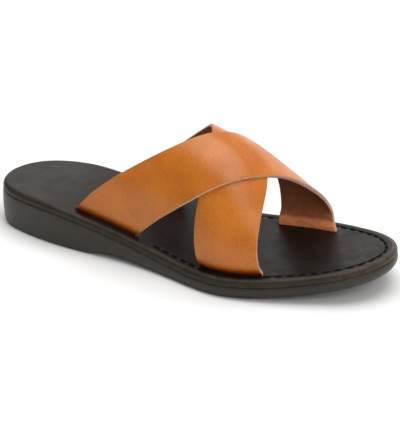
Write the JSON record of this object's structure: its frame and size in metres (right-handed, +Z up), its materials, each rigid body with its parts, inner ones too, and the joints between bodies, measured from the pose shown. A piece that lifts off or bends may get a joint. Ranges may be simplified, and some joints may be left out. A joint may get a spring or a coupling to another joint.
{
  "type": "slide sandal",
  "caption": "Right-foot leather slide sandal: wide straps cross over the instep and run into slots in a thick insole on a rubber sole with a low heel and toe spring.",
  "frame": {"origin": "on the floor under the middle of the sole's box", "axes": "+X from the heel towards the toe, +Y towards the inner side of the foot, +Z up from the floor"},
  "size_m": [0.284, 0.1107, 0.0905],
  "materials": {
    "sole_rubber": "matte",
    "insole_leather": "satin",
    "strap_leather": "satin"
  },
  "bodies": {
    "root": {"outsole": "sole_rubber", "insole": "insole_leather", "upper": "strap_leather"}
  },
  "joints": []
}
